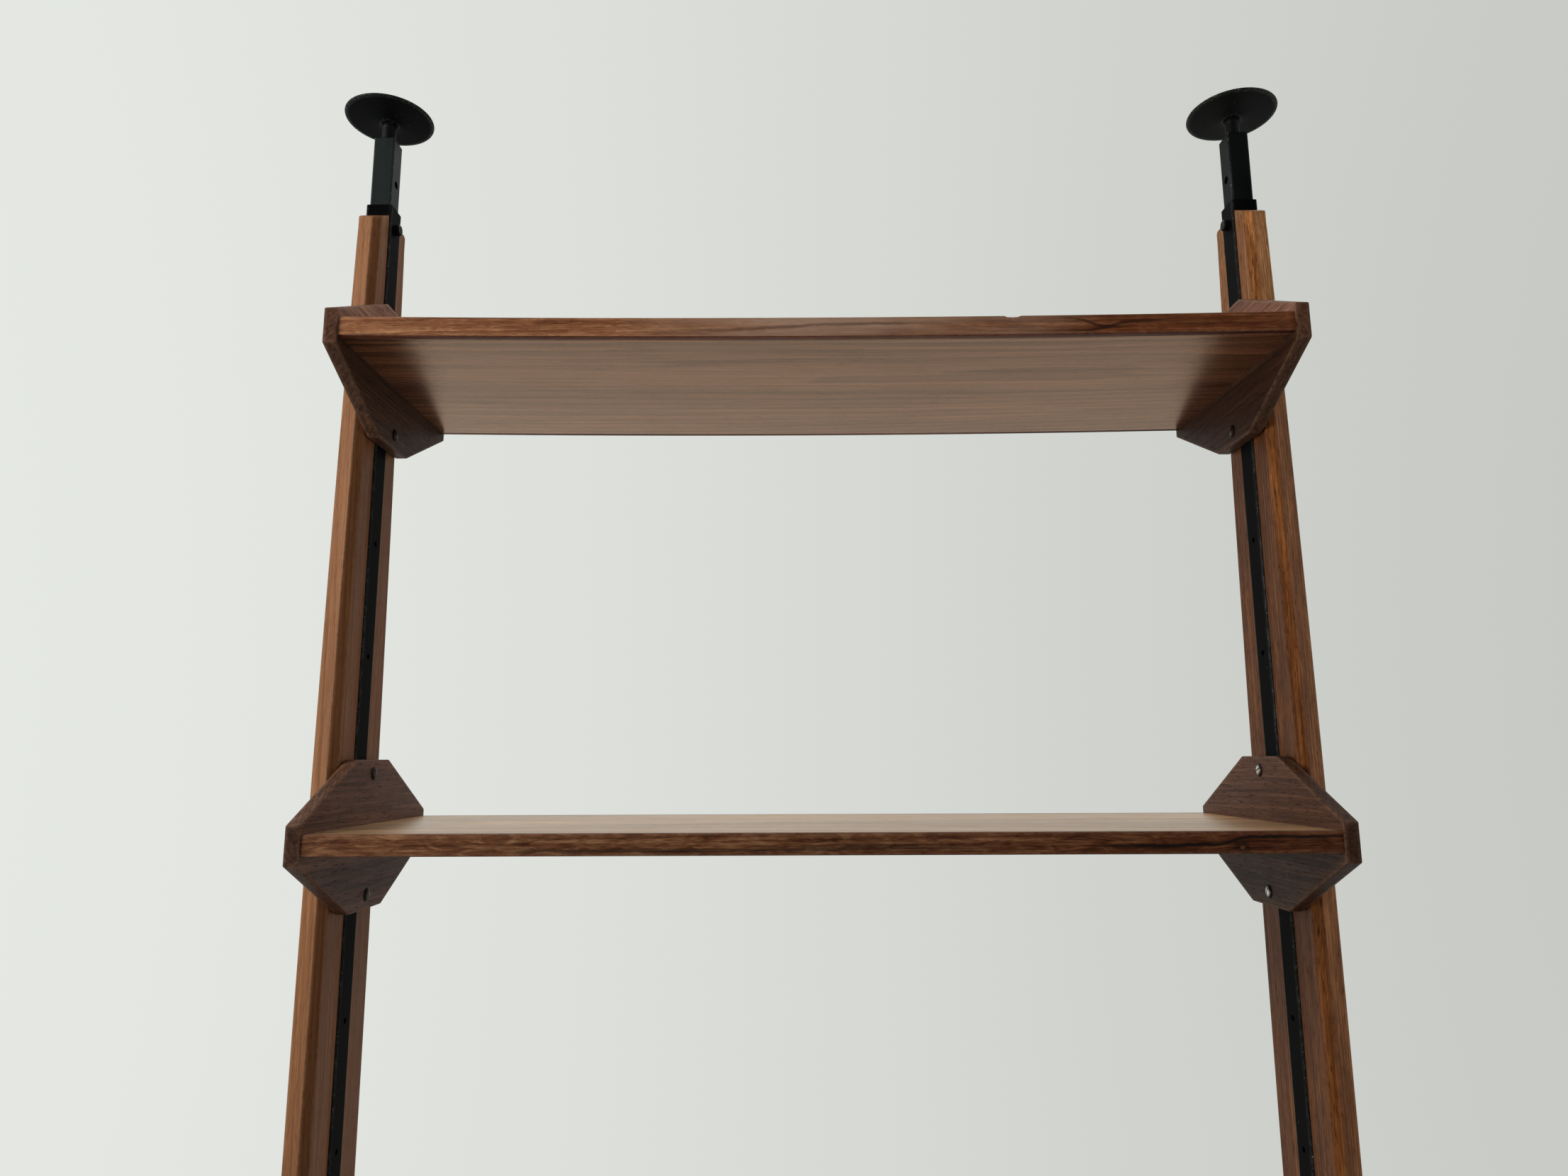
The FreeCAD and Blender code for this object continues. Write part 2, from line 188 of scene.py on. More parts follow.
def wood(name, dark, mid, light, axis, pith, ring=70.0, ring_amt=0.5, streak=(0.02, 0.01, 0.006), streak_amt=0.5,
         ribbon=0.0, wear=(0.30, 0.18, 0.10), wear_amt=0.5, rough=0.42, offset=(0, 0, 0), spec=0.5, pores=0.5, warp=0.5,
         fibre=0.55, broad_amt=0.5, extra=None, midf=0.4, mottle=0.0, bumpy=0.30, tint=None, ior=1.5, spec_var=0.3, amber=None):
    """Long-grained wood: growth rings round a pith line, fibres, pores, dark streaks,
    a ribbon figure where asked, and paler, rougher worn edges."""
    t = Tree(name)
    raw = t.coords()
    co = t.vmul(raw, (1, 1, 1), offset)
    ai = "XYZ".index(axis)
    slow = t.noise(t.vmul(co, axis_scale(axis, 1.3, 7.0)), 1.0, 3.0, 0.5)
    slow2 = t.noise(t.vmul(co, axis_scale(axis, 6.0, 34.0), (3.1, 1.7, 9.2)), 1.0, 4.0, 0.55)
    sep = t.n("ShaderNodeSeparateXYZ")
    t.link(co, sep.inputs[0])
    oth = [i for i in range(3) if i != ai]
    da = t.math("SUBTRACT", sep.outputs[oth[0]], pith[0])
    db = t.math("SUBTRACT", sep.outputs[oth[1]], pith[1])
    # the pith line leans a little against the board's length
    da = t.math("ADD", da, t.math("MULTIPLY", sep.outputs[ai], pith[2]))
    rad = t.math("SQRT", t.math("ADD", t.math("MULTIPLY", da, da), t.math("MULTIPLY", db, db)))
    rad = t.math("ADD", rad, t.math("MULTIPLY", t.math("SUBTRACT", slow, 0.5), 0.060 * warp))
    rad = t.math("ADD", rad, t.math("MULTIPLY", t.math("SUBTRACT", slow2, 0.5), 0.011 * warp))
    ph = t.math("MULTIPLY", rad, ring)
    ph = t.math("ADD", ph, t.math("MULTIPLY", t.noise(t.vmul(co, axis_scale(axis, 0.4, 22.0), (7, 2, 4)), 1.0, 2.0, 0.5), 2.2))
    fr = t.math("FRACT", ph)
    late = t.ramp(fr, [(0.0, 0.05), (0.40, 0.25), (0.82, 0.85), (0.94, 1.0), (1.0, 0.05)])
    fib = t.noise(t.vmul(co, axis_scale(axis, 7.0, 560.0)), 1.0, 5.0, 0.66)
    fib2 = t.noise(t.vmul(co, axis_scale(axis, 26.0, 1700.0), (1, 5, 2)), 1.0, 3.0, 0.6)
    broad = t.noise(t.vmul(co, axis_scale(axis, 1.5, 19.0), (5, 8, 1)), 1.0, 4.0, 0.55)
    tone = t.math("ADD", t.math("MULTIPLY", t.math("SUBTRACT", late, 0.4), ring_amt), t.math("MULTIPLY", t.math("SUBTRACT", fib, 0.5), 1.6 * fibre))
    tone = t.math("ADD", tone, t.math("MULTIPLY", t.math("SUBTRACT", broad, 0.5), 1.6 * broad_amt))
    # grain lines a few millimetres apart, and short wavy figure where asked
    mf = t.noise(t.vmul(co, axis_scale(axis, 5.0, 230.0), (6, 1, 8)), 1.0, 5.0, 0.64, 0.12)
    tone = t.math("ADD", tone, t.math("MULTIPLY", t.math("SUBTRACT", mf, 0.5), 3.0 * midf))
    if mottle > 0:
        mt = t.noise(t.vmul(co, axis_scale(axis, 38.0, 190.0), (1, 8, 5)), 1.0, 5.0, 0.66, 1.1)
        tone = t.math("ADD", tone, t.math("MULTIPLY", t.math("SUBTRACT", mt, 0.5), 3.0 * mottle))
    tone = t.math("ADD", tone, 0.5)
    col = t.ramp(tone, [(0.08, light), (0.48, mid), (0.95, dark)])
    # dark streaks that follow the fibres
    sk = t.noise(t.vmul(co, axis_scale(axis, 2.2, 120.0), (11, 3, 6)), 1.0, 4.0, 0.62, 0.25)
    sk2 = t.noise(t.vmul(co, axis_scale(axis, 1.3, 11.0), (2, 13, 8)), 1.0, 2.0, 0.5)
    skm = t.math("MULTIPLY", t.ramp(sk, [(0.52, 0.0), (0.66, 1.0)]), t.ramp(sk2, [(0.44, 0.0), (0.60, 1.0)]))
    if streak_amt > 0:
        col = t.mix(t.math("MULTIPLY", skm, streak_amt), col, streak)
    # open pores: short fine dark dashes
    po = t.noise(t.vmul(co, axis_scale(axis, 70.0, 1350.0), (4, 4, 9)), 1.0, 2.0, 0.5)
    pom = t.ramp(po, [(0.58, 0.0), (0.68, 1.0)])
    col = t.mix(t.math("MULTIPLY", pom, 0.9 * pores), col, tuple(0.30 * c for c in dark))
    if ribbon > 0:
        rb = t.noise(t.vmul(co, axis_scale(axis, 17.0, 80.0), (9, 1, 3)), 1.0, 3.0, 0.55, 0.8)
        rb2 = t.noise(t.vmul(co, axis_scale(axis, 60.0, 260.0), (2, 9, 3)), 1.0, 3.0, 0.6, 0.5)
        rbm = t.math("ADD", t.math("MULTIPLY", rb, 0.6), t.math("MULTIPLY", rb2, 0.4))
        gain = t.ramp(rbm, [(0.36, 1.0 - 0.5 * ribbon), (0.50, 1.0), (0.64, 1.0 + 0.9 * ribbon)])
        col = t.mix(1.0, col, gain, "MULTIPLY")
    if extra is not None:
        col = extra(t, raw, col)
    # worn edges
    w = t.attr("edge")
    wn = t.noise(t.vmul(co, (150, 150, 150)), 1.0, 5.0, 0.68)
    wm = t.math("MULTIPLY", w, t.ramp(wn, [(0.34, 0.10), (0.60, 1.0)]))
    col = t.mix(t.math("MULTIPLY", wm, wear_amt), col, wear)
    t.link(col, t.bsdf.inputs["Base Color"])
    # oil finish: drier on pores and edges, with faint handling marks
    hm = t.noise(t.vmul(co, (24, 24, 24), (6, 6, 1)), 1.0, 5.0, 0.6)
    rg = t.math("ADD", rough - 0.09, t.math("MULTIPLY", hm, 0.18))
    rg = t.math("ADD", rg, t.math("MULTIPLY", pom, 0.12))
    rg = t.math("ADD", rg, t.math("MULTIPLY", wm, 0.08), clamp=True)
    t.link(rg, t.bsdf.inputs["Roughness"])
    # the finish sinks into the dark grain, which shines less
    sh = t.math("SUBTRACT", 1.0 + 0.5 * spec_var, t.math("MULTIPLY", tone, spec_var))
    sh = t.math("MAXIMUM", t.math("SUBTRACT", sh, t.math("MULTIPLY", pom, 0.3)), 0.15)
    t.link(t.math("MULTIPLY", sh, spec), t.bsdf.inputs["Specular IOR Level"])
    t.bsdf.inputs["IOR"].default_value = ior
    if amber is not None:
        # a thin amber oil film, on everything below a height; the top face is left without it, which adds to its
        # painted sheen
        z_top, film = amber
        sz = t.n("ShaderNodeSeparateXYZ")
        t.link(raw, sz.inputs[0])
        under = t.math("LESS_THAN", sz.outputs[2], z_top)
        t.link(under, t.bsdf.inputs["Coat Weight"])
        # the worn top is matter than the rest
        t.link(t.math("ADD", rg, t.math("MULTIPLY", t.math("SUBTRACT", 1.0, under), 0.07)), t.bsdf.inputs["Roughness"])
        t.bsdf.inputs["Coat IOR"].default_value = 1.10
        t.bsdf.inputs["Coat Roughness"].default_value = 0.30
        t.bsdf.inputs["Coat Tint"].default_value = (film[0], film[1], film[2], 1)
    if tint is not None:
        t.bsdf.inputs["Specular Tint"].default_value = (tint[0], tint[1], tint[2], 1)
    h = t.math("SUBTRACT", t.math("MULTIPLY", fib2, 0.5), t.math("MULTIPLY", pom, 0.9))
    h = t.math("ADD", h, t.math("MULTIPLY", fib, 0.6))
    t.link(t.bump(h, bumpy, 0.00030), t.bsdf.inputs["Normal"])
    return t.mat


def corner_mask(t, co, half, r, x_axis=X_AX):
    """1 on the rounded corners of a square tube on a post axis, 0 on its flats."""
    sep = t.n("ShaderNodeSeparateXYZ")
    t.link(co, sep.inputs[0])
    cx = t.math("ABSOLUTE", t.math("SUBTRACT", t.math("ABSOLUTE", sep.outputs[0]), x_axis))
    cy = t.math("ABSOLUTE", sep.outputs[1])
    m = t.math("MINIMUM", cx, cy)
    mr = t.n("ShaderNodeMapRange")
    mr.inputs["From Min"].default_value = half - r - 0.0006
    mr.inputs["From Max"].default_value = half - 0.30 * r
    t.link(m, mr.inputs["Value"])
    return mr.outputs[0]


def black_paint(name, base=(0.0017, 0.0020, 0.0019), rough=0.50, spec=0.011, chips=0.35, corner=None, edge=False, dust=(0.0042, 0.0046, 0.0042), corner_spec=0.30, rub_tone=(0.016, 0.019, 0.018)):
    """Satin black paint on steel: fine orange peel, dust, and paint rubbed thin on corners."""
    t = Tree(name)
    co = t.coords()
    big = t.noise(t.vmul(co, (17, 17, 6)), 1.0, 5.0, 0.6)
    fine = t.noise(t.vmul(co, (850, 850, 850)), 1.0, 2.0, 0.5)
    scr = t.noise(t.vmul(co, (640, 640, 14)), 1.0, 4.0, 0.6)
    col = t.mix(t.ramp(big, [(0.36, 0.0), (0.68, 1.0)]), base, tuple(2.0 * c for c in base))
    grit = t.ramp(t.noise(t.vmul(co, (520, 520, 520), (2, 2, 7)), 1.0, 3.0, 0.6), [(0.52, 0.0), (0.78, 1.0)])
    col = t.mix(t.math("MULTIPLY", grit, 0.6), col, dust)
    chip = t.noise(t.vmul(co, (230, 230, 150), (3, 1, 2)), 1.0, 3.0, 0.6)
    chm = t.ramp(chip, [(0.72, 0.0), (0.745, 1.0)])
    if corner is not None or edge:
        k = t.attr("edge") if edge else corner_mask(t, co, *corner)
        cm = t.ramp(t.noise(t.vmul(co, (330, 330, 120), (8, 3, 5)), 1.0, 4.0, 0.62), [(0.50, 0.0), (0.60, 1.0)])
        rub = t.math("MULTIPLY", k, t.math("ADD", 0.35, t.math("MULTIPLY", cm, 0.65)))
        col = t.mix(t.math("MULTIPLY", rub, 0.50), col, rub_tone)
        t.link(t.math("ADD", spec, t.math("MULTIPLY", rub, corner_spec)), t.bsdf.inputs["Specular IOR Level"])
        fleck = t.ramp(t.noise(t.vmul(co, (420, 420, 260), (1, 7, 3)), 1.0, 3.0, 0.6), [(0.655, 0.0), (0.68, 1.0)])
        chm = t.math("MAXIMUM", t.math("MULTIPLY", chm, 0.5), t.math("MULTIPLY", fleck, k))
    col = t.mix(t.math("MULTIPLY", chm, chips), col, (0.40, 0.38, 0.35))
    sm = t.ramp(scr, [(0.66, 0.0), (0.74, 1.0)])
    col = t.mix(t.math("MULTIPLY", sm, 0.22), col, (0.014, 0.015, 0.014))
    t.link(col, t.bsdf.inputs["Base Color"])
    t.link(t.math("ADD", rough - 0.08, t.math("MULTIPLY", big, 0.20)), t.bsdf.inputs["Roughness"])
    t.bsdf.inputs["Specular IOR Level"].default_value = spec
    t.link(t.bump(t.math("ADD", fine, t.math("MULTIPLY", sm, -0.6)), 0.18, 0.00012), t.bsdf.inputs["Normal"])
    return t.mat


def screw_steel(name, base, dirt_and_shade, rough=0.34, left_brown=1.0):
    """Dulled steel of a screw head: bright where a driver has rubbed it, dark in the slot
    and round the rim with grime and painted shade.  The heads stand inboard of the brackets, so |x| is their depth."""
    t = Tree(name)
    co = t.coords()
    sep = t.n("ShaderNodeSeparateXYZ")
    t.link(co, sep.inputs[0])
    # grime and painted shade: the deeper into the slot and round the rim, the darker
    dep = t.n("ShaderNodeMapRange")
    dep.inputs["From Min"].default_value = 0.46955
    dep.inputs["From Max"].default_value = 0.47110
    t.link(t.math("ABSOLUTE", sep.outputs[0]), dep.inputs["Value"])
    n1 = t.noise(t.vmul(co, (260, 260, 260)), 1.0, 5.0, 0.65)
    n2 = t.noise(t.vmul(co, (1500, 1500, 1500)), 1.0, 3.0, 0.6)
    m = t.math("ADD", t.math("MULTIPLY", dep.outputs[0], 1.15), t.math("MULTIPLY", t.math("SUBTRACT", n1, 0.5), 1.5), clamp=True)
    # the ones at the left end (x < 0) are made browner and darker
    lf = t.math("MULTIPLY", t.math("LESS_THAN", sep.outputs[0], 0.0), left_brown)
    face = t.mix(lf, base, (0.060, 0.042, 0.032))
    t.link(t.mix(m, face, dirt_and_shade), t.bsdf.inputs["Base Color"])
    t.bsdf.inputs["Metallic"].default_value = 1.0
    t.link(t.math("ADD", rough, t.math("MULTIPLY", m, 0.25)), t.bsdf.inputs["Roughness"])
    t.link(t.bump(n2, 0.2, 0.0001), t.bsdf.inputs["Normal"])
    return t.mat


def steel(name, base=(0.33, 0.31, 0.29), rough=0.36, tarnish=0.5):
    t = Tree(name)
    co = t.coords()
    n1 = t.noise(t.vmul(co, (120, 120, 120)), 1.0, 5.0, 0.65)
    n2 = t.noise(t.vmul(co, (1400, 1400, 1400)), 1.0, 3.0, 0.6)
    m = t.ramp(n1, [(0.38, 0.0), (0.62, 1.0)])
    col = t.mix(t.math("MULTIPLY", m, tarnish), base, (0.085, 0.065, 0.05))
    t.link(col, t.bsdf.inputs["Base Color"])
    t.bsdf.inputs["Metallic"].default_value = 1.0
    t.link(t.math("ADD", rough - 0.08, t.math("MULTIPLY", n1, 0.3)), t.bsdf.inputs["Roughness"])
    t.link(t.bump(n2, 0.2, 0.0001), t.bsdf.inputs["Normal"])
    return t.mat


def plastic(name, base=(0.012, 0.012, 0.012)):
    t = Tree(name)
    co = t.coords()
    n1 = t.noise(t.vmul(co, (60, 60, 60)), 1.0, 4.0, 0.6)
    n2 = t.noise(t.vmul(co, (1300, 1300, 1300)), 1.0, 2.0, 0.5)
    t.link(t.mix(n1, base, tuple(2.2 * c for c in base)), t.bsdf.inputs["Base Color"])
    t.link(t.math("ADD", 0.45, t.math("MULTIPLY", n1, 0.2)), t.bsdf.inputs["Roughness"])
    t.link(t.bump(n2, 0.25, 0.0002), t.bsdf.inputs["Normal"])
    return t.mat


# ---------------------------------------------------------------------------
# mesh helpers
# ---------------------------------------------------------------------------
def new_object(name, verts, faces, edge, mat, body, node=None, smooth_angle=32):
    me = bpy.data.meshes.new(name)
    me.from_pydata(verts, [], faces)
    at = me.attributes.new("edge", "FLOAT", "POINT")
    at.data.foreach_set("value", edge)
    me.validate()
    bm = bmesh.new()
    bm.from_mesh(me)
    bmesh.ops.recalc_face_normals(bm, faces=bm.faces)
    bm.to_mesh(me)
    bm.free()
    me.materials.append(mat)
    for p in me.polygons:
        p.use_smooth = True
    me.set_sharp_from_angle(angle=math.radians(smooth_angle))
    ob = bpy.data.objects.new(name, me)
    COLL.objects.link(ob)
    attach(ob, body)
    if node:
        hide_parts(*( [node] if isinstance(node, str) else node))
    return ob


def round_outline(pts, radii, n=3, fade=0.003):
    """pts: closed list of (a, b), every corner convex.  Each corner becomes an arc, with a
    point a short way along both sides of it so that edge wear fades there.
    Always gives len(pts) * (n + 3) points (a, b, wear)."""
    out = []
    m = len(pts)
    for i in range(m):
        p0, p1, p2 = Vector(pts[i - 1]), Vector(pts[i]), Vector(pts[(i + 1) % m])
        d0, d2 = (p0 - p1), (p2 - p1)
        l0, l2 = d0.length, d2.length
        d0.normalize(); d2.normalize()
        r = max(radii[i], 0.00002)
        ang = d0.angle(d2)
        tl = r / math.tan(ang / 2)
        tl = min(tl, 0.45 * l0, 0.45 * l2)
        r = tl * math.tan(ang / 2)
        bis = (d0 + d2).normalized()
        c = p1 + bis * (r / math.sin(ang / 2))
        a, b = p1 + d0 * tl, p1 + d2 * tl
        q = a + d0 * min(fade, 0.49 * l0 - tl)
        out.append((q.x, q.y, 0.0))
        va, vb = a - c, b - c
        tot = va.angle(vb)
        sgn = 1 if va.x * vb.y - va.y * vb.x > 0 else -1
        for k in range(n + 1):
            f = k / n
            th = sgn * tot * f
            v = Vector((va.x * math.cos(th) - va.y * math.sin(th), va.x * math.sin(th) + va.y * math.cos(th)))
            out.append((c.x + v.x, c.y + v.y, 0.55 + 0.45 * math.sin(math.pi * f)))
        q = b + d2 * min(fade, 0.49 * l2 - tl)
        out.append((q.x, q.y, 0.0))
    return out


def inset_polygon(pts, d):
    """The closed convex polygon pts with every side moved inwards by d."""
    m = len(pts)
    P = [Vector(p) for p in pts]
    area = sum(P[i].x * P[(i + 1) % m].y - P[(i + 1) % m].x * P[i].y for i in range(m))
    sg = 1 if area > 0 else -1
    lines = []
    for i in range(m):
        e = (P[(i + 1) % m] - P[i]).normalized()
        nrm = Vector((-e.y, e.x)) * sg
        lines.append((P[i] + nrm * d, e))
    out = []
    for i in range(m):
        (p, e), (q, g) = lines[i - 1], lines[i]
        den = e.x * g.y - e.y * g.x
        w = q - p
        t = (w.x * g.y - w.y * g.x) / den
        out.append((p.x + e.x * t, p.y + e.y * t))
    return out


def rounded_solid_rings(pts, radii, a0, a1, ease, n=3, fade=0.003, spans=2):
    """Rings (position along the axis, [(a, b, wear)]) of a prism between a0 and a1 with
    rounded-over ends."""
    def ring(d, wear=None):
        o = round_outline(inset_polygon(pts, d) if d > 0 else pts, [max(r - d, 0.00004) for r in radii], n, fade)
        return [(a, b, w if wear is None else wear) for a, b, w in o]
    s = 1 if a1 > a0 else -1
    rows = [(a0, ring(ease + fade, 0.0)), (a0, ring(ease, 0.8)), (a0 + s * 0.30 * ease, ring(0.30 * ease, 1.0)), (a0 + s * ease, ring(0, 0.65)), (a0 + s * (ease + fade), ring(0))]
    for k in range(1, spans):
        rows.append((a0 + (a1 - a0) * k / spans, ring(0)))
    rows += [(a1 - s * (ease + fade), ring(0)), (a1 - s * ease, ring(0, 0.65)), (a1 - s * 0.30 * ease, ring(0.30 * ease, 1.0)), (a1, ring(ease, 0.8)), (a1, ring(ease + fade, 0.0))]
    return rows


def loft(sections, cap=True, inset=0.0008):
    """sections: list of lists of ((x, y, z), wear), equally long.  Returns verts, faces, wear."""
    verts, faces, wear = [], [], []
    n = len(sections[0])
    for s in sections:
        for p, w in s:
            verts.append(tuple(p)); wear.append(w)
    for k in range(len(sections) - 1):
        for i in range(n):
            j = (i + 1) % n
            faces.append((k * n + i, k * n + j, (k + 1) * n + j, (k + 1) * n + i))
    if cap:
        faces.append(tuple(range(n - 1, -1, -1)))
        faces.append(tuple((len(sections) - 1) * n + i for i in range(n)))
    return verts, faces, wear


# ---------------------------------------------------------------------------
# materials
# ---------------------------------------------------------------------------
def chip_at(points, tone):
    """Small pale chips: points are (x, y, z, radius) on the surface."""
    def fn(t, co, col):
        for x, y, z, r in points:
            d = t.n("ShaderNodeVectorMath", operation="DISTANCE")
            t.link(co, d.inputs[0])
            d.inputs[1].default_value = (x, y, z)
            nn = t.noise(t.vmul(co, (420, 420, 420)), 1.0, 3.0, 0.6)
            k = t.math("ADD", d.outputs["Value"], t.math("MULTIPLY", t.math("SUBTRACT", nn, 0.5), 1.5 * r))
            mr = t.n("ShaderNodeMapRange")
            mr.inputs["From Min"].default_value = r
            mr.inputs["From Max"].default_value = 0.6 * r
            t.link(k, mr.inputs["Value"])
            col = t.mix(t.math("MULTIPLY", mr.outputs[0], 0.9), col, tone)
        return col
    return fn


def vein(z0, rise, x0, width, half, x_lo, x_hi, tone, amt):
    """One strong dark vein along a lipping: an S-shaped line in x and z."""
    def fn(t, co, col):
        sep = t.n("ShaderNodeSeparateXYZ")
        t.link(co, sep.inputs[0])
        th = t.math("TANH", t.math("DIVIDE", t.math("SUBTRACT", sep.outputs[0], x0), width))
        wob = t.noise(t.vmul(co, (38, 90, 90)), 1.0, 4.0, 0.6)
        zc = t.math("ADD", z0, t.math("MULTIPLY", th, 0.5 * rise))
        zc = t.math("ADD", zc, t.math("MULTIPLY", t.math("SUBTRACT", wob, 0.5), 0.006))
        d = t.math("ABSOLUTE", t.math("SUBTRACT", sep.outputs[2], zc))
        mr = t.n("ShaderNodeMapRange")
        mr.interpolation_type = "SMOOTHSTEP"
        mr.inputs["From Min"].default_value = 2.2 * half
        mr.inputs["From Max"].default_value = 0.4 * half
        t.link(d, mr.inputs["Value"])
        ends = []
        for a_, b_ in ((x_lo - 0.03, x_lo + 0.02), (x_hi + 0.02, x_hi - 0.02)):
            e = t.n("ShaderNodeMapRange")
            e.inputs["From Min"].default_value = a_
            e.inputs["From Max"].default_value = b_
            t.link(sep.outputs[0], e.inputs["Value"])
            ends.append(e.outputs[0])
        m = t.math("MULTIPLY", t.math("MULTIPLY", mr.outputs[0], ends[0]), ends[1])
        return t.mix(t.math("MULTIPLY", m, amt), col, tone)
    return fn


def knot(x0, z0, r, heart, ring_tone, amt):
    """A small knot: an orange heart inside uneven dark rings."""
    def fn(t, co, col):
        sep = t.n("ShaderNodeSeparateXYZ")
        t.link(co, sep.inputs[0])
        dx = t.math("MULTIPLY", t.math("SUBTRACT", sep.outputs[0], x0), 0.72)
        dz = t.math("SUBTRACT", sep.outputs[2], z0)
        d = t.math("SQRT", t.math("ADD", t.math("MULTIPLY", dx, dx), t.math("MULTIPLY", dz, dz)))
        wob = t.noise(t.vmul(co, (260, 260, 260)), 1.0, 3.0, 0.6)
        q = t.math("ADD", t.math("DIVIDE", d, r), t.math("MULTIPLY", t.math("SUBTRACT", wob, 0.5), 0.8))
        rings = t.ramp(t.math("MULTIPLY", q, 0.5), [(0.0, 0.0), (0.20, 0.0), (0.30, 1.0), (0.42, 0.35), (0.50, 0.9), (0.72, 0.0)])
        core = t.ramp(q, [(0.25, 1.0), (0.50, 0.0)])
        col = t.mix(t.math("MULTIPLY", core, 0.8 * amt), col, heart)
        return t.mix(t.math("MULTIPLY", rings, amt), col, ring_tone)
    return fn


def painted_sheen_top(z_lo, gain, sheen_tone):
    """Painted sheen on the top face: its colour is raised and washed towards one pale tone: gain above z_lo,
    which lies inside the board's thickness even where the shelf sags."""
    def fn(t, co, col):
        sep = t.n("ShaderNodeSeparateXYZ")
        t.link(co, sep.inputs[0])
        m = t.n("ShaderNodeMapRange")
        m.inputs["From Min"].default_value = z_lo
        m.inputs["From Max"].default_value = z_lo + 0.0008
        t.link(sep.outputs[2], m.inputs["Value"])
        return t.mix(m.outputs[0], col, t.mix(0.42, t.mix(1.0, col, gain, "MULTIPLY"), sheen_tone))
    return fn


def painted_shade_under(gain):
    """Painted shade on the lipping's underside: gain on faces that look down."""
    def fn(t, co, col):
        nrm = t.n("ShaderNodeTexCoord").outputs["Normal"]
        sep = t.n("ShaderNodeSeparateXYZ")
        t.link(nrm, sep.inputs[0])
        m = t.n("ShaderNodeMapRange")
        m.inputs["From Min"].default_value = -0.30
        m.inputs["From Max"].default_value = -0.65
        t.link(sep.outputs[2], m.inputs["Value"])
        return t.mix(m.outputs[0], col, t.mix(1.0, col, gain, "MULTIPLY"))
    return fn


def painted_light_top(z_lo, z_hi, gain):
    """Painted light: a post is made paler above the top shelf, rising from z_lo to the full gain at z_hi, where it
    catches more light.
    """
    def fn(t, co, col):
        sep = t.n("ShaderNodeSeparateXYZ")
        t.link(co, sep.inputs[0])
        m = t.n("ShaderNodeMapRange")
        m.interpolation_type = "SMOOTHSTEP"
        m.inputs["From Min"].default_value = z_lo
        m.inputs["From Max"].default_value = z_hi
        t.link(sep.outputs[2], m.inputs["Value"])
        return t.mix(m.outputs[0], col, t.mix(1.0, col, gain, "MULTIPLY"))
    return fn


def bracket_light(zc, below, above, rim_up, rim_front, rim_down):
    """Painted light and shade on a bracket's wood: gains for its inboard face below and above the shelf, and for its
    rim on the upper slopes, the upright ends and the lower slopes."""
    def fn(t, co, col):
        sep = t.n("ShaderNodeSeparateXYZ")
        t.link(co, sep.inputs[0])
        a = t.n("ShaderNodeMapRange")
        a.interpolation_type = "SMOOTHSTEP"
        a.inputs["From Min"].default_value = zc - 0.004
        a.inputs["From Max"].default_value = zc + 0.016
        t.link(sep.outputs[2], a.inputs["Value"])
        b = t.n("ShaderNodeMapRange")
        b.inputs["From Min"].default_value = X_BR + 0.0003
        b.inputs["From Max"].default_value = X_BR + 0.0016
        t.link(t.math("ABSOLUTE", sep.outputs[0]), b.inputs["Value"])
        up = t.math("GREATER_THAN", sep.outputs[2], zc + 0.0178)
        dn = t.math("LESS_THAN", sep.outputs[2], zc - 0.0178)
        rim = t.mix(dn, t.mix(up, rim_front, rim_up), rim_down)
        g = t.mix(b.outputs[0], t.mix(a.outputs[0], below, above), rim)
        return t.mix(1.0, col, g, "MULTIPLY")
    return fn


def both_of(*fns):
    def fn(t, co, col):
        for g in fns:
            col = g(t, co, col)
        return col
    return fn


def pale_patches(lo, hi, tone, amt):
    """Broad paler stretches between x = lo and x = hi."""
    def fn(t, co, col):
        sep = t.n("ShaderNodeSeparateXYZ")
        t.link(co, sep.inputs[0])
        nn = t.noise(t.vmul(co, (7, 30, 60)), 1.0, 3.0, 0.5)
        e1 = t.n("ShaderNodeMapRange"); e1.inputs["From Min"].default_value = lo - 0.08; e1.inputs["From Max"].default_value = lo + 0.08
        e2 = t.n("ShaderNodeMapRange"); e2.inputs["From Min"].default_value = hi + 0.08; e2.inputs["From Max"].default_value = hi - 0.08
        for e in (e1, e2):
            t.link(sep.outputs[0], e.inputs["Value"])
        m = t.math("MULTIPLY", t.math("MULTIPLY", e1.outputs[0], e2.outputs[0]), t.ramp(nn, [(0.38, 0.25), (0.62, 1.0)]))
        return t.mix(t.math("MULTIPLY", m, amt), col, tone)
    return fn


def painted_shade_inner_face(gain, facet):
    """Painted shade: the posts' inboard faces are made darker than their outboard ones: gain on the flat inner
    face, facet on the narrow inboard facet."""
    def fn(t, co, col):
        sep = t.n("ShaderNodeSeparateXYZ")
        t.link(co, sep.inputs[0])
        ax = t.math("ABSOLUTE", sep.outputs[0])
        u = t.n("ShaderNodeMapRange")
        u.inputs["From Min"].default_value = X_ST
        u.inputs["From Max"].default_value = X_ST + 0.020
        t.link(ax, u.inputs["Value"])
        g = t.ramp(u.outputs[0], [(0.0, gain), (0.125, gain), (0.16, facet), (0.56, facet), (0.62, 1.0)])
        return t.mix(1.0, col, g, "MULTIPLY")
    return fn


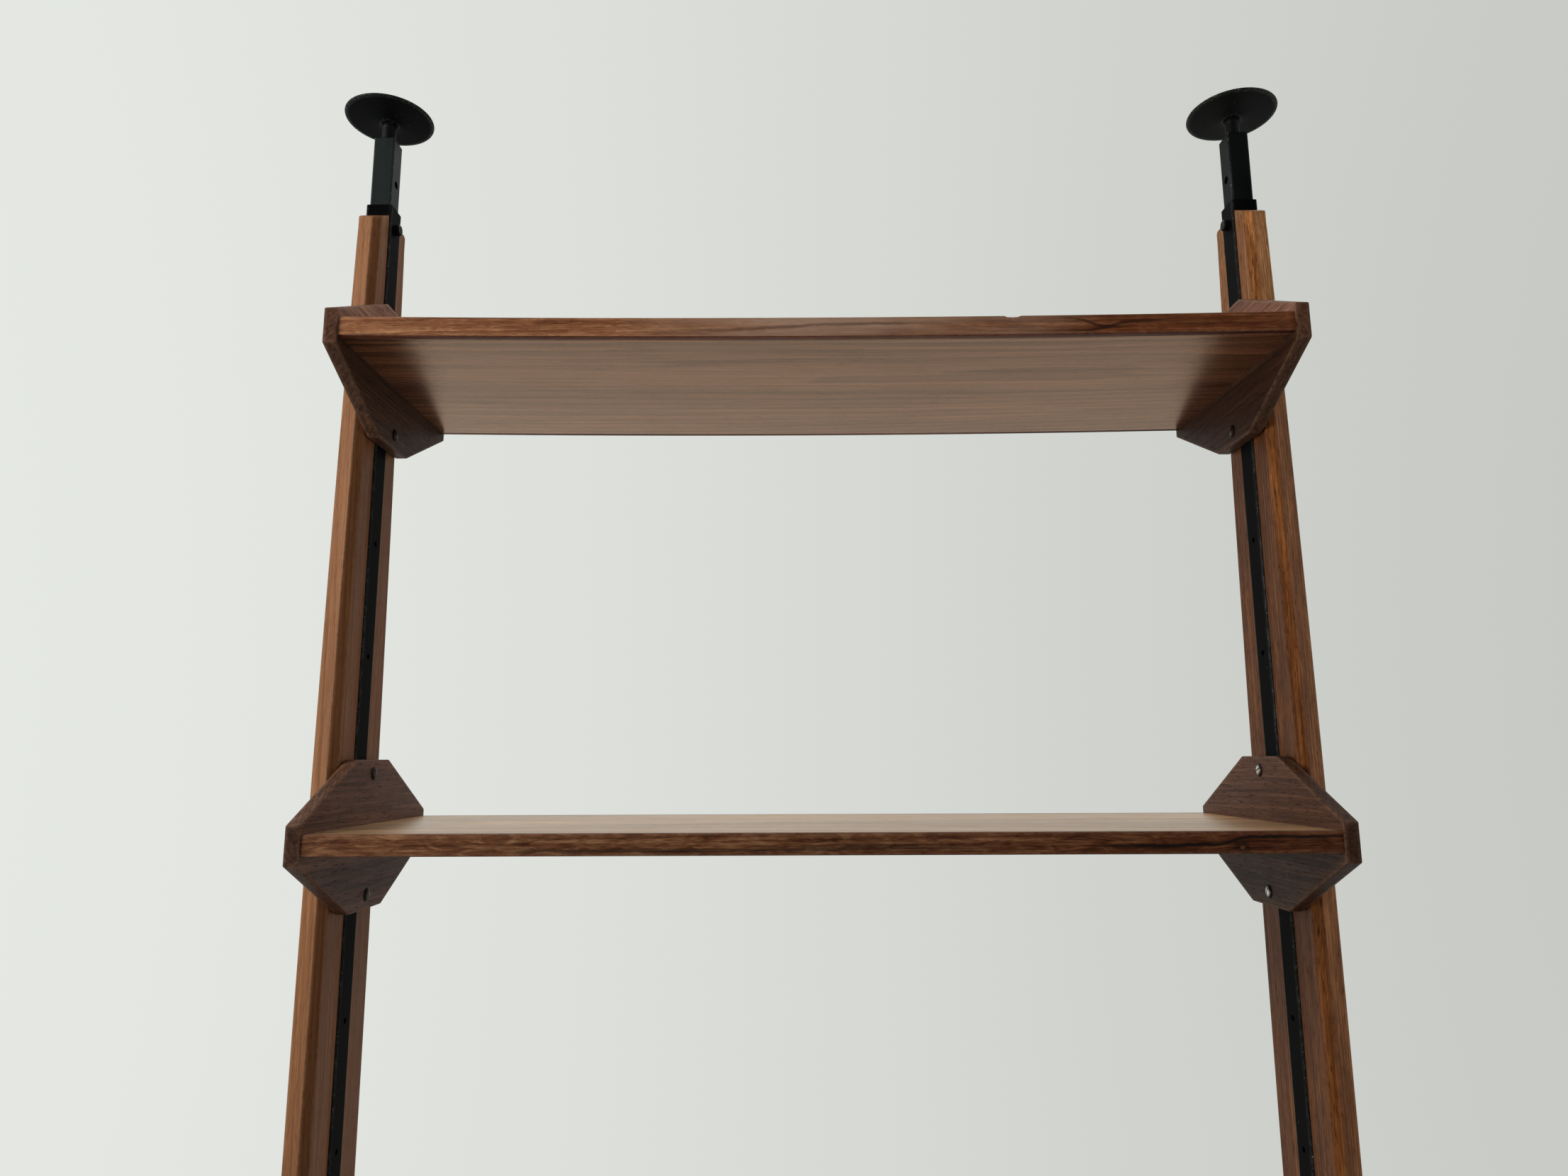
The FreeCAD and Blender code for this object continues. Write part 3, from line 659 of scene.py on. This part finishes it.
def painted_shade_right_end(gain):
    """Painted shade: the lipping is made darker and redder towards its +X end, away from the light at the left."""
    def fn(t, co, col):
        sep = t.n("ShaderNodeSeparateXYZ")
        t.link(co, sep.inputs[0])
        nn = t.noise(t.vmul(co, (5, 40, 60), (4, 2, 7)), 1.0, 3.0, 0.5)
        m = t.n("ShaderNodeMapRange")
        m.interpolation_type = "SMOOTHSTEP"
        m.inputs["From Min"].default_value = 0.02
        m.inputs["From Max"].default_value = 0.34
        t.link(t.math("ADD", sep.outputs[0], t.math("MULTIPLY", t.math("SUBTRACT", nn, 0.5), 0.25)), m.inputs["Value"])
        return t.mix(m.outputs[0], col, t.mix(1.0, col, gain, "MULTIPLY"))
    return fn


PALE = (0.62, 0.50, 0.38)
# both posts carry painted shade on their inboard faces; the right one also carries painted light above the top shelf
POST_L = wood("teak_post_left", (0.115, 0.042, 0.016), (0.205, 0.086, 0.035), (0.290, 0.135, 0.058), "Z", (-0.56, -0.10, 0.012), ring=230,
              ring_amt=0.20, streak_amt=0.16, ribbon=0.10, wear=(0.34, 0.18, 0.10), wear_amt=0.34, rough=0.46, spec=0.08, fibre=0.44, broad_amt=0.30, pores=0.45, warp=0.3, midf=0.36,
              extra=both_of(painted_shade_inner_face((0.82, 0.75, 0.66), (0.66, 0.62, 0.58)), chip_at([(-0.5040, -0.0452, 2.1130, 0.0016)], PALE)))
POST_R = wood("teak_post_right", (0.078, 0.025, 0.008), (0.205, 0.076, 0.024), (0.375, 0.152, 0.052), "Z", (0.57, -0.13, -0.010), ring=230,
              ring_amt=0.22, streak_amt=0.12, ribbon=0.42, wear=(0.34, 0.17, 0.10), wear_amt=0.30, rough=0.46, spec=0.08, fibre=0.95, broad_amt=0.14, pores=1.0, warp=0.3, offset=(0.3, 0.2, 0.7), midf=0.40,
              extra=both_of(painted_shade_inner_face((0.52, 0.46, 0.36), (0.92, 0.83, 0.70)), painted_light_top(1.96, 2.09, (1.95, 2.25, 2.45))))
BRACKET = {}
for key, off, pith in (("l4", (0.11, 0.4, 0.2), (-0.50, 2.36, 0.02)), ("r4", (0.8, 0.1, 0.5), (0.46, 2.2, 0.03)),
                       ("l3", (0.31, 0.9, 0.6), (-0.52, 1.90, 0.03)), ("r3", (0.2, 0.7, 0.33), (0.55, 1.99, -0.03)),
                       ("l2", (0.51, 0.3, 0.1), (-0.47, 1.26, 0.02)), ("r2", (0.7, 0.2, 0.9), (0.49, 1.75, 0.03)),
                       ("l1", (0.15, 0.5, 0.8), (-0.50, 1.42, 0.03)), ("r1", (0.6, 0.8, 0.4), (0.53, 1.05, -0.02))):
    up = key.endswith("4")
    kk = 1.0
    zb = SHELF_Z[int(key[1]) - 1]
    # painted light and shade per bracket: the upper ones dark below their shelf and light above it, the lower left ones
    # lighter than the lower right ones
    painted_light_gains = ((0.52, 0.46, 0.38), (2.30, 2.20, 2.05), (1.70, 1.66, 1.55), (1.10, 1.04, 0.94), (0.92, 0.98, 0.92)) if up else (((1.32, 1.26, 1.16), (1.40, 1.26, 1.12), (1.50, 1.60, 1.50), (0.60, 0.60, 0.60), (1.05, 1.02, 1.00)) if key[0] == "l" else ((0.78, 0.74, 0.58), (1.05, 0.92, 0.74), (0.92, 0.86, 0.70), (0.52, 0.50, 0.42), (0.62, 0.60, 0.54)))
    BRACKET[key] = wood("rosewood_bracket_" + key, (0.027 * kk, 0.0115 * kk, 0.0070 * kk), (0.078 * kk, 0.035 * kk, 0.022 * kk), (0.145 * kk, 0.072 * kk, 0.048 * kk), "Y", pith, ring=240,
                        ring_amt=0.18, streak_amt=0.50, streak=(0.020, 0.009, 0.006), wear=(0.22, 0.125, 0.080), wear_amt=0.42, rough=0.44, spec=0.05 if up else 0.07, offset=off, midf=0.42, extra=bracket_light(zb, *painted_light_gains),
                        fibre=0.62, broad_amt=0.55, pores=0.90, warp=0.6)
VENEER = {}
EDGE = {}
for i, (off, poff) in enumerate((((0.2, 0.1, 0.3), (0.05, -0.06)), ((0.5, 0.4, 0.7), (-0.03, 0.09)), ((0.9, 0.3, 0.15), (0.02, -0.10)), ((0.35, 0.65, 0.45), (-0.04, -0.12)))):
    z = SHELF_Z[i]
    # each board's top face carries a painted sheen, paler and plainer than the rest of the veneer
    VENEER[i] = wood("veneer_%d" % (i + 1), (0.026, 0.011, 0.006), (0.122, 0.058, 0.032), (0.255, 0.140, 0.088), "X", (poff[0] + off[1], z + off[2] + poff[1], 0.03), ring=85,
                     ring_amt=0.38, streak_amt=0.42, streak=(0.050, 0.022, 0.012), wear=(0.30, 0.18, 0.12), wear_amt=0.30, rough=0.25, spec=0.90, offset=off, pores=0.45, fibre=0.50, broad_amt=0.60,
                     midf=0.50, bumpy=0.10, tint=(1.0, 0.80, 0.62), ior=1.6, spec_var=0.6, amber=(z + 0.0020, (1.0, 0.85, 0.735)), extra=painted_sheen_top(z + 0.0020, (3.5, 3.9, 2.9), (0.41, 0.235, 0.110)))
    extras = {3: both_of(pale_patches(-0.12, 0.20, (0.41, 0.27, 0.195), 0.80), vein(z - 0.004, 0.006, -0.03, 0.05, 0.0012, -0.12, 0.10, (0.035, 0.015, 0.009), 0.5),
                         vein(z - 0.0040, 0.0110, 0.292, 0.022, 0.0013, 0.245, 0.335, (0.026, 0.010, 0.006), 0.8), vein(z - 0.0005, -0.0085, 0.268, 0.010, 0.0010, 0.250, 0.305, (0.026, 0.010, 0.006), 0.75),
                         chip_at([(0.194, -0.1550, z + 0.0052, 0.0018)], PALE)),
              2: both_of(vein(z + 0.0016, 0.0070, 0.371, 0.009, 0.0011, 0.270, 0.47, (0.008, 0.004, 0.003), 0.95), vein(z - 0.0022, 0.0030, 0.330, 0.040, 0.0009, 0.285, 0.372, (0.010, 0.005, 0.003), 0.8),
                         knot(0.380, z - 0.0044, 0.0042, (0.150, 0.055, 0.022), (0.010, 0.005, 0.003), 0.95),
                         vein(z - 0.004, 0.002, 0.02, 0.06, 0.0014, -0.28, 0.14, (0.022, 0.010, 0.006), 0.6)),
              1: vein(z + 0.002, -0.008, -0.10, 0.05, 0.0012, -0.40, 0.12, (0.015, 0.008, 0.005), 0.7),
              0: vein(z - 0.002, 0.007, -0.22, 0.04, 0.0012, -0.46, 0.05, (0.015, 0.008, 0.005), 0.7)}
    # painted light: the top shelf's lippings are made 1.55 times lighter in colour, the lower ones 0.90 times
    kk = 1.55 if i == 3 else 0.90
    # painted shade on every lipping: darker and redder towards the +X end, and darker on faces that look down
    EDGE[i] = wood("edge_%d" % (i + 1), (0.062 * kk, 0.019 * kk, 0.008 * kk), (0.172 * kk, 0.069 * kk, 0.030 * kk), (0.315 * kk, 0.160 * kk, 0.078 * kk), "X", (-0.16 + off[1] + 0.05, z + off[2] - 0.05, 0.02), ring=190,
                   ring_amt=0.18, streak=(0.016, 0.007, 0.004), streak_amt=0.60, wear=(0.28, 0.145, 0.085), wear_amt=0.35, rough=0.44, spec=0.10, offset=off, pores=0.60,
                   fibre=0.55, broad_amt=0.24, midf=0.34, mottle=0.74 if i != 3 else 0.42, extra=both_of(painted_shade_right_end((0.60, 0.44, 0.34)), extras[i], painted_shade_under((0.36, 0.19, 0.14))))
BLACK = black_paint("satin_black", corner=(0.015, 0.003))
# painted light and shade: the left jack tube's paint is made lighter than the right one's
BLACK_JACK_PAINTED_LIT = black_paint("satin_black_jack_left_painted_lit", (0.0115, 0.0155, 0.0155), 0.50, 0.060, 0.8, corner=(0.01225, 0.0025), dust=(0.023, 0.029, 0.028))
BLACK_JACK_PAINTED_SHADE = black_paint("satin_black_jack_right_painted_shade", (0.0034, 0.0046, 0.0043), 0.50, 0.032, 0.9, corner=(0.01225, 0.0025), dust=(0.008, 0.010, 0.0095))
# painted light and shade: the right disc's paint is made lighter than the left one's
BLACK_DISC_PAINTED_SHADE = black_paint("satin_black_disc_left_painted_shade", (0.0016, 0.0021, 0.0020), 0.50, 0.022, 0.7, edge=True, dust=(0.0055, 0.0068, 0.0062), corner_spec=0.40, rub_tone=(0.022, 0.026, 0.024))
BLACK_DISC_PAINTED_LIGHT = black_paint("satin_black_disc_right_painted_light", (0.0034, 0.0042, 0.0038), 0.50, 0.042, 0.9, edge=True, dust=(0.010, 0.012, 0.0105), corner_spec=0.40, rub_tone=(0.030, 0.034, 0.031))
BLACK_SCREW = black_paint("satin_black_screw", (0.0030, 0.0035, 0.0033), 0.42, 0.10, 0.5)
SCREW_BRIGHT = screw_steel("dulled_steel", (0.66, 0.63, 0.59), (0.014, 0.011, 0.009), 0.30)
SCREW_DARK = screw_steel("dulled_steel_dark", (0.085, 0.058, 0.044), (0.012, 0.008, 0.006), 0.40, 0.6)
PLAIN = steel("turned_steel", (0.50, 0.49, 0.47), 0.30, 0.25)
PLASTIC = plastic("black_moulding")
DOWEL = wood("beech_dowel", (0.35, 0.24, 0.15), (0.55, 0.40, 0.26), (0.66, 0.50, 0.34), "X", (0.1, 0.1, 0.02), rough=0.55)


# ---------------------------------------------------------------------------
# posts: bowed, faceted strips
# ---------------------------------------------------------------------------
def half_depth(z):
    m = 0.5 * (RAIL_Z0 + RAIL_Z1)
    return 0.055 - (0.055 - 0.0338) * ((z - m) / (0.5 * (RAIL_Z1 - RAIL_Z0))) ** 2


RAIL_R = [0.0004, 0.0012, 0.0022, 0.0009, 0.0009, 0.0006]


def rail_ring(z, d=0.0, wear=None):
    h = half_depth(z)
    pts = [(0.002, 0.015), (0.002, h), (0.0117, h + 0.0048), (0.0305, h - 0.0064), (0.0325, h - 0.0088), (0.0325, 0.015)]
    o = round_outline(inset_polygon(pts, d) if d > 0 else pts, [max(r - d, 0.00004) for r in RAIL_R], 3, 0.0022)
    return [(a, b, w if wear is None else wear) for a, b, w in o]


def make_rail(name, sx, front, mat):
    sy = -1 if front else 1
    if front:
        top = lambda y: RAIL_Z1 - max(0.0, (y - 0.0158)) * (24.5 / 39.2)
    else:
        top = lambda y: RAIL_Z1 - max(0.0, (y - 0.0318)) * (14.0 / 15.0)
    secs = []
    for d, dz, w in ((0.0034, 0.0, 0.0), (0.0012, 0.0, 0.8), (0.0004, 0.0004, 1.0), (0.0, 0.0012, 0.65)):
        secs.append([((sx * (X_ST + u), sy * y, RAIL_Z0 + dz), w) for u, y, w in rail_ring(RAIL_Z0 + 0.0012, d, w)])
    zl = RAIL_Z1 - 0.032
    for i in range(1, 57):
        z = RAIL_Z0 + (zl - RAIL_Z0) * i / 56
        secs.append([((sx * (X_ST + u), sy * y, z), w) for u, y, w in rail_ring(z)])
    for f in (0.4, 0.8):
        o = rail_ring(RAIL_Z1 - 0.012)
        secs.append([((sx * (X_ST + u), sy * y, zl + (top(y) - 0.0016 - zl) * f), w) for u, y, w in o])
    for d, dz, w in ((0.0, 0.0012, 0.65), (0.0004, 0.0004, 1.0), (0.0012, 0.0, 0.85), (0.0034, 0.0, 0.0)):
        secs.append([((sx * (X_ST + u), sy * y, top(y) - dz), w) for u, y, w in rail_ring(RAIL_Z1 - 0.012, d, w)])
    v, f, w = loft(secs)
    return new_object(name, v, f, w, mat, "frame", name.replace("_wood", ""), 24)


for side, sx, mat in (("left", -1, POST_L), ("right", 1, POST_R)):
    make_rail(side + "_front_rail_wood", sx, True, mat)
    make_rail(side + "_rear_rail_wood", sx, False, mat)


# ---------------------------------------------------------------------------
# brackets
# ---------------------------------------------------------------------------
def make_bracket(n, side, mat):
    sx = -1 if side == "left" else 1
    d, h, f, e = 0.158, 0.077, 0.040, 0.018
    pts = [(-d, -e), (-f, -h), (f, -h), (d, -e), (d, e), (f, h), (-f, h), (-d, e)]
    zc = SHELF_Z[n - 1]
    rows = rounded_solid_rings(pts, [0.0022] * 8, X_BR, X_BR + BR_T, 0.0011, 4, 0.0028)
    v, fc, w = loft([[((sx * x, y, zc + z), wv) for y, z, wv in o] for x, o in rows])
    return new_object("shelf_%d_%s_bracket_wood" % (n, side), v, fc, w, mat, "frame", "shelf_%d_%s_bracket" % (n, side), 30)


# ---------------------------------------------------------------------------
# shelves
# ---------------------------------------------------------------------------
def bar(name, y0, y1, zc, sag, radii, mat, node, notch=None):
    """notch: (x, half length, depth) of a chip out of the upper corner at y0."""
    pts = [(y0, -T2), (y1, -T2), (y1, T2), (y0, T2)]
    o = round_outline(pts, radii, 3, 0.0025)
    L = X_BR - 0.0001
    secs = []
    n = 40 if sag else 8
    xs = [-L + 2 * L * i / n for i in range(n + 1)]
    if notch:
        xs = sorted(xs + [notch[0] + notch[1] * f for f in (-1.25, -1.0, -0.72, -0.35, 0.05, 0.42, 0.66, 1.0, 1.25)])
    for x in xs:
        dz = -sag * (1 - (x / L) ** 2)
        cut = notch[2] * max(0.0, min(1.0, (1.0 - abs(x - notch[0]) / notch[1]) / 0.45)) if notch else 0.0
        secs.append([((x, y, zc + z + dz - (cut if z > T2 - 0.00125 and y < y0 + 0.00125 else 0.0)), w) for y, z, w in o])
    v, f, w = loft(secs)
    return new_object(name, v, f, w, mat, "frame", node, 30)


for n in (1, 2, 3, 4):
    i = n - 1
    zc, sag = SHELF_Z[i], SAG[i]
    d = SHELF_HALF_D
    bar("shelf_%d_board_wood" % n, -d + LIP, d - LIP, zc, sag, [0.0003] * 4, VENEER[i], "shelf_%d_board" % n)
    bar("shelf_%d_front_edge_wood" % n, -d, -d + LIP, zc, sag, [0.0014, 0.0004, 0.0004, 0.0012], EDGE[i], "shelf_%d_front_edge" % n,
        (0.194, 0.0082, 0.0017) if n == 4 else None)
    bar("shelf_%d_rear_edge_wood" % n, d - LIP, d, zc, sag, [0.0004, 0.0014, 0.0012, 0.0004], EDGE[i], "shelf_%d_rear_edge" % n)
    make_bracket(n, "left", BRACKET["l%d" % n])
    make_bracket(n, "right", BRACKET["r%d" % n])


# ---------------------------------------------------------------------------
# ceiling discs and screw spindles
# ---------------------------------------------------------------------------
def lathe(profile, n, cx):
    """profile: closed list of (r, z, wear) about the vertical axis at x = cx."""
    verts, faces, wear = [], [], []
    m = len(profile)
    for k in range(n):
        th = 2 * math.pi * k / n
        for r, z, w in profile:
            verts.append((cx + r * math.cos(th), r * math.sin(th), z))
            wear.append(w)
    for k in range(n):
        j = (k + 1) % n
        for i in range(m):
            h = (i + 1) % m
            faces.append((k * m + i, j * m + i, j * m + h, k * m + h))
    return verts, faces, wear


def make_disc(side, sx):
    lo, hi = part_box(side + "_ceiling_disc")
    z = hi[2]
    hb = lo[2]
    prof = [(0.00408, hb, 0.0), (0.0090, hb, 0.0), (0.0100, hb + 0.0002, 0.3), (0.0108, hb + 0.0007, 0.3), (0.0114, hb + 0.0013, 0.0), (0.0135, hb + 0.0021, 0), (0.0180, z - 0.0053, 0),
            (0.0220, z - 0.0047, 0), (0.0260, z - 0.0043, 0), (0.0330, z - 0.0037, 0), (0.0400, z - 0.0031, 0), (0.0450, z - 0.0028, 0.0), (0.0478, z - 0.0025, 0.55),
            (0.0493, z - 0.0022, 0.8), (0.0498, z - 0.0016, 1.0), (0.0500, z - 0.0010, 1.0), (0.0498, z - 0.0004, 1.0), (0.0494, z - 0.0001, 0.8), (0.0486, z, 0.5), (0.0450, z, 0.3), (0.0400, z - 0.0007, 0.1),
            (0.0330, z - 0.0013, 0), (0.0260, z - 0.0019, 0), (0.0180, z - 0.0029, 0), (0.0110, hb + 0.0042, 0), (0.0070, hb + 0.0042, 0), (0.00408, hb + 0.0042, 0)]
    v, f, w = lathe(prof, 128, sx * X_AX)
    return new_object(side + "_ceiling_disc_turned", v, f, w, BLACK_DISC_PAINTED_SHADE if side == "left" else BLACK_DISC_PAINTED_LIGHT, side + "_disc", side + "_ceiling_disc", 40)


def make_spindle(side, sx):
    """Screw with a 3 mm right-hand thread, a plain neck and a peened journal."""
    lo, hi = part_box(side + "_jack_spindle")
    z0, z1 = lo[2], hi[2]
    neck = z1 - 0.0110          # thread stops below the plain neck
    shoulder = z1 - 0.0065
    R, depth, pitch, n = 0.0080, 0.0009, 0.003, 36
    rings = []

    def rr(th, z):
        g = ((z - z0) / pitch - th / (2 * math.pi)) % 1.0
        g = abs(g - 0.5) * 2
        return R - depth * min(1.0, max(0.0, (1.0 - g) * 1.6 - 0.3))
    cx = sx * X_AX
    verts, faces, wear = [], [], []

    def add(r_of, z, w=0.0):
        for k in range(n):
            th = 2 * math.pi * k / n
            r = r_of(th) if callable(r_of) else r_of
            verts.append((cx + r * math.cos(th), r * math.sin(th), z))
            wear.append(w)
        rings.append(len(rings))
    add(R - 0.0016, z0)
    add(R - 0.0009, z0 + 0.0003)
    z = z0 + 0.0010
    while z < neck:
        zz = z
        f = min(1.0, (zz - z0 - 0.001) / 0.002, (neck - zz) / 0.002)
        add(lambda th, zz=zz, f=f: (R - 0.0001) * (1 - f) + rr(th, zz) * f if f < 1 else rr(th, zz), zz, 0.12)
        z += pitch / 8
    add(R, neck + 0.0002)
    add(R, shoulder - 0.0004)
    add(R - 0.0004, shoulder)
    add(0.0040, shoulder)
    add(0.0040, z1 - 0.0016)
    add(0.0052, z1 - 0.0016, 0.5)
    add(0.0058, z1 - 0.0010, 0.8)
    add(0.0053, z1 - 0.0003, 0.8)
    add(0.0030, z1, 0.6)
    m = len(rings)
    for a_ in range(m - 1):
        for k in range(n):
            j = (k + 1) % n
            faces.append((a_ * n + k, a_ * n + j, (a_ + 1) * n + j, (a_ + 1) * n + k))
    faces.append(tuple(range(n - 1, -1, -1)))
    faces.append(tuple((m - 1) * n + i for i in range(n)))
    return new_object(side + "_jack_spindle_screw", verts, faces, wear, BLACK_SCREW, side + "_spindle", side + "_jack_spindle", 50)


for side, sx in (("left", -1), ("right", 1)):
    make_disc(side, sx)
    make_spindle(side, sx)


# ---------------------------------------------------------------------------
# carried-over CAD nodes and their finishes
# ---------------------------------------------------------------------------
def finish(node, mat):
    ob = NODES[node]
    me = ob.data
    if not me.materials:
        me.materials.append(mat)
    for s in ob.material_slots:
        s.material = mat


for side in ("left", "right"):
    finish(side + "_post_tube", BLACK)
    finish(side + "_rail_studs", PLAIN)
    finish(side + "_foot_plug", PLASTIC)
    finish(side + "_foot_stud", PLAIN)
    finish(side + "_foot_pad", PLASTIC)
    finish(side + "_lock_bolt", BLACK_SCREW)
    finish(side + "_jack_tube", BLACK_JACK_PAINTED_LIT if side == "left" else BLACK_JACK_PAINTED_SHADE)
    finish(side + "_jack_nut", PLAIN)
for n in (1, 2, 3, 4):
    finish("shelf_%d_bracket_screws" % n, SCREW_BRIGHT if n in (1, 3) else SCREW_DARK)
    finish("shelf_%d_dowels" % n, DOWEL)


# ---------------------------------------------------------------------------
# floor, light
# ---------------------------------------------------------------------------
def make_floor():
    me = bpy.data.meshes.new("floor")
    n = 96
    R = 2.6
    vs = [(R * math.cos(2 * math.pi * k / n), R * math.sin(2 * math.pi * k / n) + 0.1, -0.0002) for k in range(n)]
    me.from_pydata(vs, [], [tuple(range(n))])
    t = Tree("floor_pale")
    nn = t.noise(t.vmul(t.coords(), (3, 3, 3)), 1.0, 4.0, 0.5)
    t.link(t.mix(nn, (0.66, 0.665, 0.65), (0.72, 0.725, 0.71)), t.bsdf.inputs["Base Color"])
    t.bsdf.inputs["Roughness"].default_value = 0.75
    me.materials.append(t.mat)
    ob = bpy.data.objects.new("floor", me)
    COLL.objects.link(ob)


make_floor()


def area(name, loc, target, size, power, color=(1, 1, 1), size_y=None):
    l = bpy.data.lights.new(name, "AREA")
    l.energy = power
    l.color = color
    l.shape = "RECTANGLE"
    l.size = size
    l.size_y = size_y or size
    ob = bpy.data.objects.new(name, l)
    COLL.objects.link(ob)
    ob.location = loc
    ob.rotation_mode = "QUATERNION"
    ob.rotation_quaternion = (Vector(target) - Vector(loc)).to_track_quat("-Z", "Y")


area("key", (-1.70, -0.90, 2.10), (-0.3, 0, 1.75), 0.8, 30, (1.0, 0.985, 0.955), 1.2)
area("fill", (2.3, -1.0, 1.9), (0.3, 0, 1.6), 1.3, 13, (1.0, 0.99, 0.98))
area("top", (0.2, 0.9, 4.0), (0, 0, 0.8), 2.4, 26, (0.98, 0.99, 1.0))

world = bpy.data.worlds.new("studio")
scene.world = world
world.use_nodes = True
wn = world.node_tree
wn.nodes.clear()
wo = wn.nodes.new("ShaderNodeOutputWorld")
bg = wn.nodes.new("ShaderNodeBackground")
tc = wn.nodes.new("ShaderNodeTexCoord")
sp = wn.nodes.new("ShaderNodeSeparateXYZ")
wn.links.new(tc.outputs["Generated"], sp.inputs[0])
# pale wall to the rear, falling off to the right; a dimmer room to the front
r1 = wn.nodes.new("ShaderNodeValToRGB")
m1 = wn.nodes.new("ShaderNodeMapRange")
m1.inputs["From Min"].default_value = -1.0
m1.inputs["From Max"].default_value = 1.0
wn.links.new(sp.outputs["X"], m1.inputs["Value"])
wn.links.new(m1.outputs[0], r1.inputs[0])
els = r1.color_ramp.elements
els[0].position, els[0].color = 0.15, (0.80, 0.825, 0.79, 1)
els[1].position, els[1].color = 0.85, (0.55, 0.565, 0.535, 1)
e = els.new(0.5); e.color = (0.69, 0.705, 0.67, 1)
m2 = wn.nodes.new("ShaderNodeMapRange")
m2.interpolation_type = "SMOOTHSTEP"
m2.inputs["From Min"].default_value = -0.30
m2.inputs["From Max"].default_value = 0.40
wn.links.new(sp.outputs["Y"], m2.inputs["Value"])
mx = wn.nodes.new("ShaderNodeMix")
mx.data_type = "RGBA"
wn.links.new(m2.outputs[0], mx.inputs[0])
mx.inputs[6].default_value = (0.175, 0.175, 0.17, 1)
wn.links.new(r1.outputs[0], mx.inputs[7])
wn.links.new(mx.outputs[2], bg.inputs[0])
bg.inputs[1].default_value = 1.0
wn.links.new(bg.outputs[0], wo.inputs[0])
scene.view_settings.view_transform = "Standard"
scene.view_settings.look = "None"
scene.view_settings.exposure = 0.0
scene.view_settings.gamma = 1.0
